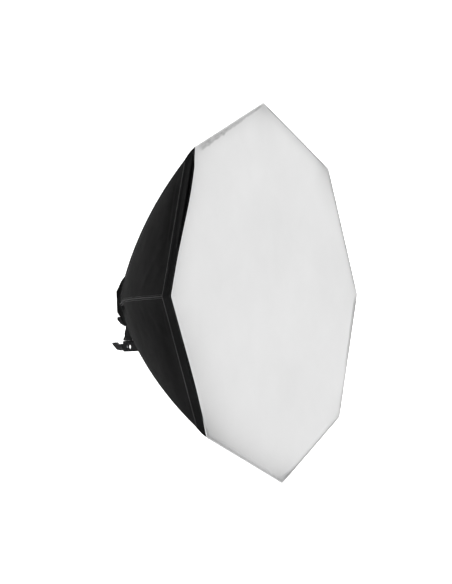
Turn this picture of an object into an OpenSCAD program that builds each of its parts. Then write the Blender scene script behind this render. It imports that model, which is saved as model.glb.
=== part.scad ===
// Octagonal studio softbox: a bowed fabric shell on eight spring rods, a lamp head and a stand bracket.
// The stand socket's centre is the origin. The white front faces -Y and +Z is up.

/* [Shell] */
// Distance across opposite front corners
corner_to_corner = 950; // [900:10:1000]
// Corner radius where the gores end at the lamp head
rear_r = 90; // [88:1:94]
// Depth from the front edge to the rear end of the gores
shell_depth = 406; // [404:1:408]
// How far each rib bows out from its chord
rib_bow = 20; // [16:1:24]
// Thickness of the shell fabric
cloth = 1.0; // [0.8:0.1:1.2]
// Depth of the lip band round the front edge
band_depth = 45; // [36:1:50]
// Width of the hook and loop tapes
tape_w = 25; // [15:1:30]

/* [Rods] */
// Diameter of a spring rod
rod_d = 4; // [3.5:0.1:4]

/* [Lamp head] */
// Half of the head's width across flats
head_flat = 66.5; // [66:0.5:68]
// Thickness of the lamp plate
plate_t = 4; // [3:0.5:5]
// Distance of each lamp from the optical axis, along X and along Z
lamp_offset = 31; // [31:0.5:32]
// Largest diameter of a lamp globe
globe_d = 60; // [50:1:61]
// Distance of each rocker switch from the centre line
switch_x = 11; // [10:0.5:14]

/* [Bracket] */
// Width of the arm's neck and of the clamp block
bracket_w = 17.5; // [16:0.5:19]
// Diameter of the swivel faces
swivel_d = 34; // [30:1:34]
// Diameter of the stand socket
socket_d = 16.5; // [16.2:0.1:17]
// Diameter of the clamp screw
clamp_d = 8; // [6:1:8]

/* [Hidden] */
$fn = 48;

// The optical axis: Z runs back from the front plane, X stays right and Y points down.
axis_drop = 119.4;
socket_depth = 441;

// A rib is an arc in its own plane, given by radius and depth.
front_r = corner_to_corner / 2;
chord = sqrt(pow(front_r - rear_r, 2) + pow(shell_depth, 2));
arc_r = pow(chord / 2, 2) / (2 * rib_bow) + rib_bow / 2;
arc_centre_r = (front_r + rear_r) / 2 - shell_depth / chord * (arc_r - rib_bow);
arc_centre_d = shell_depth / 2 - (front_r - rear_r) / chord * (arc_r - rib_bow);
rear_angle = atan2(shell_depth - arc_centre_d, rear_r - arc_centre_r);

// Layers are set in from the rib's outer arc.
band_t = 1.3;
gore_inset = band_t + 0.1;
rod_inset = gore_inset + cloth + 3;
pocket_inset = gore_inset + cloth + 6.3;

// Layers at the front, as depths from the front plane.
diffuser_t = 1;
hem_d = diffuser_t + 0.05;
hook_d = 2.4;
loop_d = 3.8;
flange_d = 5.2;
flange_t = 1.2;
gore_d = flange_d + flange_t + 0.8;
flange_r = front_r - 35;
gore_steps = 12;

// The lamp head, as depths from the front plane.
ring_front = 402;
ring_floor = 417;
ring_back = 432;
cover_back = 445;
back_flat = 48;
ring_bore_r = 42;
rod_end_r = head_flat - 12;
cover_screw_r = 46.5;
flat_to_corner = 1 / cos(22.5);
holder_r = 20;
holder_l = 42;
lamp_cap_r = 13.1;
globe_front = 262;
lead_d = ring_front + 10;
hem_back = ring_back - 6;

// The switches and the mains inlet in the back cover.
switch_y = -12;
pivot_d = cover_back - 3;
inlet_y = 21;
inlet_back = cover_back + 1.5;
recess_floor = inlet_back - 15.5;

// The bracket, as depths and distances below the axis.
swivel_depth = 437;
arm_foot = 102.4;
boss_t = 8;
block_top = 103.3;
block_bottom = 132;
block_front = 418.5;
block_back = 457.8;
socket_r = socket_d / 2;
clamp_r = clamp_d / 2;
pad_tip = socket_depth + socket_r + 0.15;
pad_l = 2;
lever_front = block_back + 2.1;
bolt_r = 3;
run_gap = 0.05;

// The raised root of the arm.
root_w = 28;
root_top = 38.5;
root_back = 469.5;

function rib_angle(d, inset) = asin((d - arc_centre_d) / (arc_r - inset));
function rib_r(d, inset) = arc_centre_r + (arc_r - inset) * cos(rib_angle(d, inset));
function rib_point(a, inset) =
    [arc_centre_r + (arc_r - inset) * cos(a), arc_centre_d + (arc_r - inset) * sin(a)];
function inside_band(d) = rib_r(d, band_t) - 0.1;
function rod_depth(r) =
    arc_centre_d + sqrt(pow(arc_r - rod_inset, 2) - pow(r - arc_centre_r, 2));
function rod_angle(r) = atan2(rod_depth(r) - arc_centre_d, r - arc_centre_r);
function turned(p, a) = [p[0] * cos(a), p[0] * sin(a), p[1]];
function octagon_r(a, r) = r * cos(22.5) / cos((a % 45) - 22.5);

// Puts a shape that is drawn on the optical axis where it belongs.
module optic() {
    translate([0, -socket_depth, axis_drop])
        rotate([-90, 0, 0]) children();
}

// Turns a shape from the XZ plane to rib k.
module at_rib(k) {
    rotate([0, 0, 45 * k]) children();
}

// Skins a row of sections, either as a closed ring or with two end caps.
module loft(sections, ring) {
    n = len(sections);
    m = len(sections[0]);
    rows = ring ? n : n - 1;
    points = [for (s = sections) for (p = s) p];
    sides = [for (i = [0:rows - 1]) for (j = [0:m - 1])
        let (a = i * m + j, b = i * m + (j + 1) % m)
        let (c = ((i + 1) % n) * m + (j + 1) % m, d = ((i + 1) % n) * m + j)
        for (f = [[a, b, c], [a, c, d]]) f];
    caps = ring ? [] : [
        [for (j = [m - 1:-1:0]) j],
        [for (j = [0:m - 1]) (n - 1) * m + j]
    ];
    polyhedron(points = points, faces = concat(sides, caps), convexity = 6);
}

module octagon_plate(r, from, to) {
    translate([0, 0, from]) cylinder(r = r, h = to - from, $fn = 8);
}

module octagon_frame(r, w, from, to) {
    difference() {
        octagon_plate(r, from, to);
        octagon_plate(r - w, from - 1, to + 1);
    }
}

// An octagonal prism or frustum with its flats, not its corners, on the ribs.
module flats(from, to, flat_from, flat_to) {
    translate([0, 0, from]) rotate([0, 0, 22.5])
        cylinder(
            r1 = flat_from * flat_to_corner,
            r2 = flat_to * flat_to_corner,
            h = to - from,
            $fn = 8
        );
}

// A round bar along the optical axis.
module post(x, y, r, from, to) {
    translate([x, y, from]) cylinder(r = r, h = to - from);
}

// A round bar along the vertical swivel axis.
module swivel_post(r, from, to) {
    translate([0, from, swivel_depth]) rotate([-90, 0, 0]) cylinder(r = r, h = to - from);
}

// A side outline of [depth, drop] points, thickened across X.
module side_plate(w, outline) {
    rotate([0, 90, 0]) translate([0, 0, -w / 2])
        linear_extrude(w) polygon([for (p = outline) [-p[0], p[1]]]);
}

module at_lamps() {
    for (x = [-1, 1]) for (y = [-1, 1]) translate([x * lamp_offset, y * lamp_offset, 0]) children();
}

// One fabric gore between ribs k and k + 1.
module gore(k) {
    first = rib_angle(gore_d, gore_inset);
    sections = [for (i = [0:gore_steps])
        let (a = first + (rear_angle - first) * i / gore_steps)
        let (outer = rib_point(a, gore_inset), inner = rib_point(a, gore_inset + cloth))
        [turned(outer, 0), turned(outer, 45), turned(inner, 45), turned(inner, 0)]];
    color("#202022") optic() at_rib(k) loft(sections, false);
}

// One bowed spring rod, from its pocket at the corner into its socket.
module rod(k) {
    first = rib_angle(9, rod_inset);
    color("#8c8c90") optic() at_rib(k) translate([arc_centre_r, 0, arc_centre_d]) rotate([90, 0, 0])
        rotate_extrude(start = first, angle = rod_angle(rod_end_r + 0.2) - first, $fn = 360)
            translate([arc_r - rod_inset, 0]) circle(r = rod_d / 2, $fn = 24);
}

// Fabric that closes from the gores onto the head, with a hem that grips it.
module rear_collar() {
    hem_r = head_flat * flat_to_corner + 1.6;
    step = 360 / 64;
    sections = [for (j = [0:63])
        let (a = j * step)
        let (r = octagon_r(a, rear_r - gore_inset), t = cloth + 0.2)
        [for (p = [[r, shell_depth + 0.2], [hem_r, hem_back - 4], [hem_r, hem_back],
                   [hem_r - t, hem_back], [hem_r - t, hem_back - 4], [r - t, shell_depth + 0.2]])
            turned(p, a)]];
    color("#202022") optic() loft(sections, true);
}

// Folded band round the front edge.
module lip_band() {
    middle = band_depth / 2;
    profile = concat(
        [for (d = [1.1, middle, band_depth]) [rib_r(d, 0), d]],
        [for (d = [band_depth, middle, 1.1]) [rib_r(d, band_t), d]]
    );
    sections = [for (k = [0:7]) [for (p = profile) turned(p, 45 * k)]];
    color("#1a1a1c") optic() loft(sections, true);
}

// Inward flange of the band, which carries the loop tape.
module lip_flange() {
    flange_back = flange_d + flange_t;
    edge_r = inside_band(flange_back);
    color("#1a1a1c") optic() octagon_frame(edge_r, edge_r - flange_r, flange_d, flange_back);
}

module loop_tape() {
    color("#262628") optic() octagon_frame(inside_band(flange_d), tape_w, loop_d, flange_d);
}

module hook_tape() {
    color("#d8d8d8") optic() octagon_frame(inside_band(loop_d), tape_w, hook_d, loop_d);
}

module diffuser() {
    color("#eeeeee") optic() octagon_plate(front_r - 0.6, 0, diffuser_t);
}

module diffuser_hem() {
    color("#d0d0d2") optic() octagon_frame(inside_band(hook_d), tape_w + 6, hem_d, hook_d);
}

// Patches sewn across the corners that hold the rod tips.
module rod_pockets() {
    along = 36;
    a = rib_angle(9 + along / 2, pocket_inset);
    p = rib_point(a, pocket_inset);
    color("#303034") optic() for (k = [0:7]) at_rib(k)
        translate([p[0], 0, p[1]]) rotate([0, -a, 0]) cube([1, 24, along], center = true);
}

// End caps on the rods.
module rod_tips() {
    a = rib_angle(9, rod_inset);
    p = rib_point(a, rod_inset);
    color("#101010") optic() for (k = [0:7]) at_rib(k) translate([p[0], 0, p[1]]) rotate([0, -a, 0])
        difference() {
            union() {
                cylinder(r = rod_d / 2 + 0.6, h = 10);
                sphere(r = rod_d / 2 + 0.6);
            }
            cylinder(r = rod_d / 2 + 0.02, h = 12);
        }
}

// Ring with eight sloping sockets for the rods.
module rod_socket_ring() {
    entry_r = head_flat + 6;
    a = rod_angle((entry_r + rod_end_r) / 2);
    reach = (entry_r - rod_end_r) / sin(a);
    color("#1c1c1e") optic() difference() {
        flats(ring_front, ring_back, head_flat, head_flat);
        flats(ring_front - 1, ring_floor, head_flat - 5, head_flat - 5);
        post(0, 0, ring_bore_r, ring_floor - 1, ring_back + 1);
        for (k = [0:7]) at_rib(k) translate([entry_r, 0, rod_depth(entry_r)])
            rotate([0, -a, 0]) rotate([0, 0, 70]) cylinder(r = rod_d / 2 + 0.1, h = reach);
        for (k = [0:3]) rotate([0, 0, 90 * k + 22.5]) post(cover_screw_r, 0, 1.5, ring_back - 9, ring_back + 1);
    }
}

// Front plate that carries the lampholders.
module lamp_plate() {
    color("#dcdcdc") optic() difference() {
        flats(ring_front - plate_t, ring_front, head_flat - 0.2, head_flat - 0.2);
        at_lamps() {
            post(0, 0, holder_r * 0.6, ring_front - plate_t - 1, ring_front + 1);
            for (s = [-1, 1]) post(15 * s, 0, 1.5, ring_front - plate_t - 1, ring_front + 1);
        }
    }
}

// Bevelled back cover with four screw posts.
module rear_cover() {
    slope = (head_flat - back_flat) / (cover_back - ring_back);
    inner_back = cover_back - 2.5;
    inner_flat = head_flat - 3.5;
    color("#1c1c1e") optic() difference() {
        union() {
            difference() {
                flats(ring_back, cover_back, head_flat, back_flat);
                flats(ring_back - 1, inner_back, inner_flat + slope, inner_flat - slope * (inner_back - ring_back));
            }
            for (k = [0:3]) rotate([0, 0, 90 * k + 22.5]) post(cover_screw_r, 0, 3.4, ring_back, inner_back + 0.5);
        }
        for (k = [0:3]) rotate([0, 0, 90 * k + 22.5]) post(cover_screw_r, 0, 1.6, ring_back - 1, cover_back + 1);
        for (s = [-1, 1]) translate([s * switch_x, switch_y, cover_back]) cube([13.2, 19.2, 20], center = true);
        translate([0, inlet_y, cover_back]) cube([27.2, 19.7, 20], center = true);
    }
}

module cover_screws() {
    color("#9a9a9c") optic() for (k = [0:3]) rotate([0, 0, 90 * k + 22.5]) {
        post(cover_screw_r, 0, 1.5, ring_back - 8, cover_back);
        difference() {
            post(cover_screw_r, 0, 2.8, cover_back, cover_back + 1.8);
            translate([cover_screw_r, 0, cover_back + 1.8]) cube([4, 0.8, 1.6], center = true);
        }
    }
}

// Screw-in lampholder, numbered from lower left to upper right as the front is seen.
module lampholder(k) {
    x = (k % 2 == 0 ? -1 : 1) * lamp_offset;
    y = (k < 2 ? 1 : -1) * lamp_offset;
    back = ring_front - plate_t;
    color("#e8e6e0") optic() translate([x, y, 0]) difference() {
        union() {
            post(0, 0, holder_r, back - holder_l, back);
            post(0, 0, holder_r * 0.6 - 0.3, back, ring_front + 4);
        }
        post(0, 0, lamp_cap_r + 0.4, back - holder_l - 1, back - 12);
        for (s = [-1, 1]) post(15 * s, 0, 1.5, back - 8, back + 1);
    }
}

module holder_screws() {
    color("#9a9a9c") optic() at_lamps() for (s = [-1, 1]) {
        post(15 * s, 0, 1.5, ring_front - plate_t - 7, ring_front);
        post(15 * s, 0, 2.8, ring_front, ring_front + 1.8);
    }
}

// Metal cap and plastic body of each lamp.
module lamp_bases() {
    mouth = ring_front - plate_t - holder_l;
    color("#c8c8c8") optic() at_lamps() {
        post(0, 0, lamp_cap_r, mouth, mouth + 26);
        translate([0, 0, mouth - 30]) cylinder(r1 = globe_d / 2 - 5, r2 = lamp_cap_r + 2, h = 30);
    }
}

module lamp_globes() {
    mouth = ring_front - plate_t - holder_l;
    globe_r = globe_d / 2;
    color("#fafafa") optic() at_lamps() difference() {
        translate([0, 0, globe_front + globe_r]) sphere(r = globe_r);
        translate([0, 0, mouth - 30 + globe_r]) cube(2 * globe_r, center = true);
    }
}

module terminal_block() {
    color("#e0e0dc") optic() translate([0, 0, lead_d]) difference() {
        cube([40, 16, 11], center = true);
        for (i = [-2:2]) translate([i * 8, 0, 0]) post(0, 0, 2, -7, 7);
    }
}

// One insulated lead from each lampholder to the terminal block.
module wiring() {
    d = lead_d;
    color("#b03a2e") optic() for (x = [-1, 1]) for (y = [-1, 1]) {
        post(x * lamp_offset, y * lamp_offset, 1.8, ring_front + 4, d);
        translate([x * lamp_offset, y * lamp_offset, d]) sphere(r = 1.8);
        translate([x * lamp_offset, y * lamp_offset, d]) rotate([90 * y, 0, 0])
            cylinder(r = 1.8, h = lamp_offset - 5);
        translate([x * lamp_offset, y * 5, d]) sphere(r = 1.8);
        translate([x * lamp_offset, y * 5, d]) rotate([0, -90 * x, 0])
            cylinder(r = 1.8, h = lamp_offset - 20);
    }
}

// Snap-in frame of a rocker switch.
module switch_frame(s) {
    color("#151515") optic() translate([s * switch_x, switch_y, cover_back]) difference() {
        union() {
            translate([-6.5, -9.5, -13]) cube([13, 19, 13]);
            translate([-7.5, -10.5, 0]) cube([15, 21, 2]);
        }
        translate([-5.1, -8.8, -11]) cube([10.2, 17.6, 14]);
        translate([-8, 0, pivot_d - cover_back]) rotate([0, 90, 0]) cylinder(r = 1 + run_gap, h = 16);
    }
}

// Rocker on its own pins, lying at its off position.
module rocker(s) {
    outline = [[-8.3, -1.5], [-7.8, 5.2], [0, 4], [7.8, 5.2], [8.3, -1.5], [5, -4], [-5, -4]];
    color("#b3201c") optic() translate([s * switch_x, switch_y, pivot_d]) rotate([-10, 0, 0]) {
        rotate([90, 0, 90]) translate([0, 0, -4.8]) linear_extrude(9.6) polygon(outline);
        translate([-6.3, 0, 0]) rotate([0, 90, 0]) cylinder(r = 1, h = 12.6);
    }
}

module pin_blades() {
    for (p = [[-7, 2], [7, 2], [0, -2]])
        translate([p[0], inlet_y + p[1], recess_floor + 3.5]) cube([2, 4, 13], center = true);
}

// Recessed mains inlet that takes an appliance coupler.
module mains_inlet() {
    color("#101010") optic() difference() {
        union() {
            translate([-13.5, inlet_y - 9.75, recess_floor - 1.5]) cube([27, 19.5, 17]);
            translate([-15.5, inlet_y - 11.75, cover_back]) cube([31, 23.5, 1.5]);
        }
        translate([-12, inlet_y - 8.25, recess_floor]) cube([24, 16.5, 20]);
        pin_blades();
    }
}

module inlet_pins() {
    color("#c9c9cc") optic() pin_blades();
}

// Arm from the raised root on the back cover to the swivel.
module bracket_arm() {
    slope = (cover_back - ring_back) / (head_flat - back_flat);
    seat = [for (y = [64, back_flat]) [cover_back + 0.1 - (y - back_flat) * slope, y]];
    root = concat([[cover_back + 0.1, root_top], [467.5, root_top], [root_back, root_top + 2],
        [root_back, 46.2], [459.2, 57.3], [447, 64]], seat);
    neck = [[437, 63.9], [436.5, 70], [434, 80], [427, 91], [421, 97], [421, arm_foot],
        [456.3, arm_foot], [456.3, 97.5], [451.8, 91], [451.5, 81], [447.5, 71.5], [447, 63.9]];
    channel = [[400, 73], [447.3, 73], [447.3, arm_foot - boss_t], [400, arm_foot - boss_t]];
    color("#232325") optic() difference() {
        union() {
            side_plate(root_w, root);
            side_plate(bracket_w, neck);
            swivel_post(swivel_d / 2, arm_foot - boss_t, arm_foot);
        }
        side_plate(bracket_w - 5.5, channel);
        swivel_post(bolt_r + run_gap, arm_foot - boss_t - 1, arm_foot + 1);
    }
}

// Rectangle with round corners, as an exact outline.
module round_rect(w, h, r) {
    translate([r, 0]) square([w - 2 * r, h]);
    translate([0, r]) square([w, h - 2 * r]);
    for (x = [r, w - r]) for (y = [r, h - r]) translate([x, y]) circle(r = r);
}

// Block with the stand socket across it and the clamp screw from behind.
module clamp_block() {
    color("#262628") optic() difference() {
        union() {
            translate([bracket_w / 2, 0, 0]) rotate([0, -90, 0]) linear_extrude(bracket_w)
                translate([block_front, block_top])
                    round_rect(block_back - block_front, block_bottom - block_top, 3);
            swivel_post(swivel_d / 2, block_top, block_top + 5.5);
        }
        translate([-bracket_w, axis_drop, socket_depth]) rotate([0, 90, 0])
            cylinder(r = socket_r, h = 2 * bracket_w);
        post(0, axis_drop, clamp_r + run_gap, socket_depth, block_back + 1);
        swivel_post(bolt_r, block_top - 1, block_top + 7.1);
    }
}

module friction_washer() {
    color("#2c2723") optic() difference() {
        swivel_post(swivel_d / 2 - 1, arm_foot + 0.1, block_top);
        swivel_post(bolt_r + 0.3, arm_foot - 1, block_top + 1);
    }
}

// Cap screw that is fixed in the block and turns in the arm.
module swivel_bolt() {
    head = arm_foot - boss_t - 4.3;
    color("#a4a4a8") optic() difference() {
        union() {
            swivel_post(bolt_r, head, block_top + 7.1);
            swivel_post(5, head - 6, head);
        }
        translate([0, head - 6, swivel_depth]) rotate([-90, 0, 0]) rotate([0, 0, 30])
            cylinder(r = 2.9, h = 3, $fn = 6);
    }
}

module spring_washers() {
    seat = arm_foot - boss_t - 0.1;
    color("#8f8f94") optic() for (i = [0:2]) difference() {
        swivel_post(5.6, seat - 1.4 * i - 1.3, seat - 1.4 * i);
        swivel_post(bolt_r, seat - 8, seat + 1);
    }
}

// Clamp screw with the nipple that turns in the pad.
module clamp_screw() {
    color("#b0b0b4") optic() union() {
        post(0, axis_drop, clamp_r, pad_tip + pad_l + 0.1, lever_front + 9);
        post(0, axis_drop, 1.5, pad_tip + 0.9, pad_tip + pad_l + 1);
    }
}

// Pad at the tip of the clamp screw.
module clamp_pad() {
    color("#5c5c5e") optic() difference() {
        post(0, axis_drop, clamp_r - 0.4, pad_tip, pad_tip + pad_l);
        post(0, axis_drop, 1.5 + run_gap, pad_tip + 0.7, pad_tip + pad_l + 1);
    }
}

// A round boss of the lever's outline, at a depth and a distance below the axis.
module lever_boss(d, y, r) {
    translate([-d, y]) circle(r = r, $fn = 32);
}

// Hand lever moulded onto the clamp screw.
module clamp_lever() {
    color("#18181a") optic() difference() {
        union() {
            post(0, axis_drop, 9.3, lever_front, lever_front + 11);
            rotate([0, 90, 0]) translate([0, 0, -4.5]) linear_extrude(9) {
                hull() {
                    lever_boss(lever_front + 8.4, 120.6, 8);
                    lever_boss(478, 119.5, 7);
                }
                hull() {
                    lever_boss(478, 119.5, 7);
                    lever_boss(484.8, 108.6, 3);
                    lever_boss(493.8, 108.8, 2.6);
                }
            }
        }
        post(0, axis_drop, clamp_r, lever_front - 1, lever_front + 9);
    }
}

for (k = [0:7]) gore(k);
for (k = [0:7]) rod(k);
rear_collar();
lip_band();
lip_flange();
loop_tape();
hook_tape();
diffuser();
diffuser_hem();
rod_pockets();
rod_tips();
rod_socket_ring();
lamp_plate();
rear_cover();
cover_screws();
for (k = [0:3]) lampholder(k);
holder_screws();
lamp_bases();
lamp_globes();
terminal_block();
wiring();
switch_frame(-1);  // switch_frame_1
switch_frame(1);  // switch_frame_2
rocker(-1);  // rocker_1
rocker(1);  // rocker_2
mains_inlet();
inlet_pins();
bracket_arm();
clamp_block();
friction_washer();
swivel_bolt();
spring_washers();
clamp_screw();
clamp_pad();
clamp_lever();
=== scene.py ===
import math

import bpy
import numpy as np
from mathutils import Matrix, Vector, noise


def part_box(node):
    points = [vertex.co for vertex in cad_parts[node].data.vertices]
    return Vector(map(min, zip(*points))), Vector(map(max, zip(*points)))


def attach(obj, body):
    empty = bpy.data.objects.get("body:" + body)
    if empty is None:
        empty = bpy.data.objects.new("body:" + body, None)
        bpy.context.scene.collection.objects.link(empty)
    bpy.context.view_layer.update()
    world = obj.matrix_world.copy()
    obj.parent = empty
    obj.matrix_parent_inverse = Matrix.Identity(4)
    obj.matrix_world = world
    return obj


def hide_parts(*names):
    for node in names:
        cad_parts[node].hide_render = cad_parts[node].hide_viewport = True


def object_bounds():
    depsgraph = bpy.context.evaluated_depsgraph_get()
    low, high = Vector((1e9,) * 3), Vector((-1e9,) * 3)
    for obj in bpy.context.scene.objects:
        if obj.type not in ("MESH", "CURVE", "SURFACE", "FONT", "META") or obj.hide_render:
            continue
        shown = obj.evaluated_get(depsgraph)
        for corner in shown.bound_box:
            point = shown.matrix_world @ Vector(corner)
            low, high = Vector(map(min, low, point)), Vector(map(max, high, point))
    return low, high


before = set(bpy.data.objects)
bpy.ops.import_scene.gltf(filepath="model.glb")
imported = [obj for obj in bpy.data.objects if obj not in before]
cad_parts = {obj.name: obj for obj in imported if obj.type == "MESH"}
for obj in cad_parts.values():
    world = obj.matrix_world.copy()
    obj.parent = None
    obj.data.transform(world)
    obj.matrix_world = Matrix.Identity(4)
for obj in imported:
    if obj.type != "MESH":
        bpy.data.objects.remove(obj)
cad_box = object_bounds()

HEAD = "softbox_head"
MM = 0.001
SHARP_ANGLE = math.radians(50)
STITCH_SHARE = 0.62      # how much of its pitch a stitch covers
NYLON_THICKNESS = 0.6 * MM
DIFFUSION_THICKNESS = 0.5 * MM

# ---------------------------------------------------------------- the softbox's own geometry
front_low, front_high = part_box("diffuser")
gore_low, gore_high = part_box("gore_1")
collar_low, collar_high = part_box("rear_collar")
lip_low, lip_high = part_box("lip_band")
ring_low, ring_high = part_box("rod_socket_ring")

FRONT_Y = front_low[1]
AXIS_Z = (front_low[2] + front_high[2]) / 2
FRONT_R = (lip_high[0] - lip_low[0]) / 2 + 0.8 * MM
REAR_R = (collar_high[0] - collar_low[0]) / 2 + 1.4 * MM
REAR_D = gore_high[1] - FRONT_Y + 1.1 * MM
LIP_D = lip_high[1] - FRONT_Y
RIB_BOW = 20 * MM
GORE_INSET = 1.4 * MM
HALF_GORE = math.radians(22.5)

CHORD = math.hypot(FRONT_R - REAR_R, REAR_D)
ARC_R = (CHORD / 2) ** 2 / (2 * RIB_BOW) + RIB_BOW / 2
ARC_CENTRE_R = (FRONT_R + REAR_R) / 2 - REAR_D / CHORD * (ARC_R - RIB_BOW)
ARC_CENTRE_D = REAR_D / 2 - (FRONT_R - REAR_R) / CHORD * (ARC_R - RIB_BOW)
REAR_ANGLE = math.atan2(REAR_D - ARC_CENTRE_D, REAR_R - ARC_CENTRE_R)


def rib_angle(d, inset=0.0):
    return math.asin((d - ARC_CENTRE_D) / (ARC_R - inset))


def rib_point(a, inset=0.0):
    """Radius and depth on a rib's arc."""
    return ARC_CENTRE_R + (ARC_R - inset) * math.cos(a), ARC_CENTRE_D + (ARC_R - inset) * math.sin(a)


# How far each stretched corner stands off the true octagon, along X and Z, by its angle in degrees.
CORNER_DRIFT = {0: (8.0, -1.0), 45: (5.0, 5.0), 90: (-2.0, 8.0), 135: (-1.5, 6.0),
                180: (8.0, -7.0), 225: (2.0, -1.5), 270: (9.0, -2.0), 315: (5.0, 2.5)}
# Front edges that bow sideways between two rods: where on the octagon, by how many millimetres along X,
# and how far along the edge that reaches, in sides.
EDGE_BOWS = {3: (3.28, 13.0, 0.34), 4: (4.6, 4.0, 0.4)}
EDGE_BOW_DEPTH = 46 * MM
# The left rib's fabric is drawn down where it meets the collar.
REAR_PULL = 7 * MM


def drift(phi, d):
    """Offset of the fabric where the rods' tips pull it off the true octagon."""
    turns = phi / (2 * HALF_GORE) % 8
    k, t = int(turns) % 8, turns % 1
    near, far = CORNER_DRIFT[45 * k], CORNER_DRIFT[45 * ((k + 1) % 8)]
    fade = max(0.0, 1 - d / (REAR_D * 0.92)) ** 1.3
    dx, dz = [(a + (b - a) * t) * MM * fade for a, b in zip(near, far)]
    if k in EDGE_BOWS and d < EDGE_BOW_DEPTH:
        centre, amount, reach = EDGE_BOWS[k]
        bow = amount * math.exp(-((turns - centre) / reach) ** 2) * min(1.0, 8 * t, 3 * (1 - t))
        dx += bow * MM * (1 - d / EDGE_BOW_DEPTH) ** 1.2
    return [dx, dz]


def place(r, phi, d, soft=True):
    """A point in the row frame from its radius, its angle round the optical axis and its depth."""
    dx, dz = drift(phi, d)
    share = d / REAR_D
    pull = smooth_step(0.78, 0.95, share) * (1 - smooth_step(1.0, 1.03, share)) if soft else 0.0
    if pull:
        away = math.degrees(phi) % 360 - 180
        dz -= REAR_PULL * pull * math.exp(-(away / 13) ** 2)
    return np.array([r * math.cos(phi) + dx, FRONT_Y + d, AXIS_Z + r * math.sin(phi) + dz])


def smooth_step(low, high, x):
    t = min(max((x - low) / (high - low), 0.0), 1.0)
    return t * t * (3 - 2 * t)


def near(distance, reach):
    """1 at distance 0, fading smoothly over a reach."""
    return math.exp(-(distance / reach) ** 2)


def wobble(x, y, z, seed=0.0):
    return noise.noise(Vector((x + seed * 7.31, y - seed * 3.17, z + seed * 1.73)))


# ---------------------------------------------------------------- mesh helpers
def mesh_piece(name, verts, faces, materials, slot, uvs=None):
    """A mesh object that rides on the head. uvs gives one pair for each vertex, in metres."""
    mesh = bpy.data.meshes.new(name)
    mesh.from_pydata([tuple(v) for v in verts], [], faces)
    mesh.update()
    if uvs is not None:
        layer = mesh.uv_layers.new(name="cloth")
        index = np.zeros(len(mesh.loops), np.int32)
        mesh.loops.foreach_get("vertex_index", index)
        layer.data.foreach_set("uv", np.asarray(uvs, np.float32)[index].ravel())
    mesh.polygons.foreach_set("use_smooth", [True] * len(mesh.polygons))
    mesh.set_sharp_from_angle(angle=SHARP_ANGLE)
    piece = bpy.data.objects.new(name, mesh)
    bpy.context.scene.collection.objects.link(piece)
    for material in materials:
        mesh.materials.append(material)
    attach(piece, HEAD)
    return piece


def grid_faces(rows, cols, wrap_rows=False, wrap_cols=False, flip=False):
    faces = []
    for i in range(rows if wrap_rows else rows - 1):
        for j in range(cols if wrap_cols else cols - 1):
            a, b = i * cols + j, i * cols + (j + 1) % cols
            c, d = (i + 1) % rows * cols + (j + 1) % cols, (i + 1) % rows * cols + j
            faces.append((a, d, c, b) if flip else (a, b, c, d))
    return faces


def thicken(piece, thickness, lined=False):
    """Gives a sheet its cloth's thickness, with the lining's material on the inside of lined cloth."""
    solidify = piece.modifiers.new("cloth", "SOLIDIFY")
    solidify.thickness = thickness
    solidify.offset = -1.0
    solidify.use_even_offset = False
    solidify.material_offset = 1 if lined else 0
    solidify.material_offset_rim = 0


def sweep(path, profile):
    """Points and faces of a closed profile carried along a path of (centre, across, out) frames."""
    verts = []
    for i, (centre, across, out) in enumerate(path):
        outline = profile(i) if callable(profile) else profile
        verts += [centre + across * x + out * y for x, y in outline]
    count = len(profile(0) if callable(profile) else profile)
    faces = grid_faces(len(path), count, wrap_cols=True)
    faces.append(tuple(reversed(range(count))))
    faces.append(tuple(range((len(path) - 1) * count, len(path) * count)))
    return verts, faces


def stitches(name, runs, material, slot, thread=0.35 * MM):
    """Short raised thread stitches. Each run is a list of (start, end, out) with points a stitch apart."""
    verts, faces = [], []
    sides = 6
    for run in runs:
        for start, end, out in run:
            along = end - start
            length = np.linalg.norm(along)
            along = along / length
            side = np.cross(along, out)
            base = len(verts)
            for t, swell, lift in ((0, 0.35, -0.5), (0.22, 1, 0.55), (0.78, 1, 0.55), (1, 0.35, -0.5)):
                centre = start + along * length * t + out * thread * lift
                for k in range(sides):
                    a = 2 * math.pi * k / sides
                    verts.append(centre + (side * math.cos(a) + out * math.sin(a)) * thread * swell)
            faces += [tuple(base + x for x in f) for f in grid_faces(4, sides, wrap_cols=True)]
            faces.append(tuple(base + x for x in reversed(range(sides))))
            faces.append(tuple(base + 3 * sides + x for x in range(sides)))
    return mesh_piece(name, verts, faces, [material], slot)


def stitch_run(points, outs, pitch):
    """Stitches laid a pitch apart along a line of points."""
    points = np.array(points)
    outs = np.array(outs)
    along = np.concatenate([[0], np.cumsum(np.linalg.norm(np.diff(points, axis=0), axis=1))])
    run = []
    for i in range(int(along[-1] / pitch)):
        ends = [np.array([np.interp(t, along, points[:, k]) for k in range(3)])
                for t in (i * pitch, (i + STITCH_SHARE) * pitch)]
        out = np.array([np.interp(i * pitch, along, outs[:, k]) for k in range(3)])
        run.append((ends[0], ends[1], out / np.linalg.norm(out)))
    return run


# ---------------------------------------------------------------- materials
def shader(name, color, roughness, **sockets):
    """A node material with its constants set on the shader itself."""
    material = bpy.data.materials.new(name)
    material.use_nodes = True
    nodes, links = material.node_tree.nodes, material.node_tree.links
    bsdf = nodes["Principled BSDF"]
    bsdf.inputs["Base Color"].default_value = (*color, 1)
    bsdf.inputs["Roughness"].default_value = roughness
    for socket, value in sockets.items():
        bsdf.inputs[socket.replace("_", " ")].default_value = value
    return material, nodes, links, bsdf


def noise_node(nodes, links, coords, scale, detail=3.0, roughness=0.5):
    node = nodes.new("ShaderNodeTexNoise")
    node.inputs["Scale"].default_value = scale
    node.inputs["Detail"].default_value = detail
    node.inputs["Roughness"].default_value = roughness
    links.new(coords, node.inputs["Vector"])
    return node.outputs["Fac"]


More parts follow.
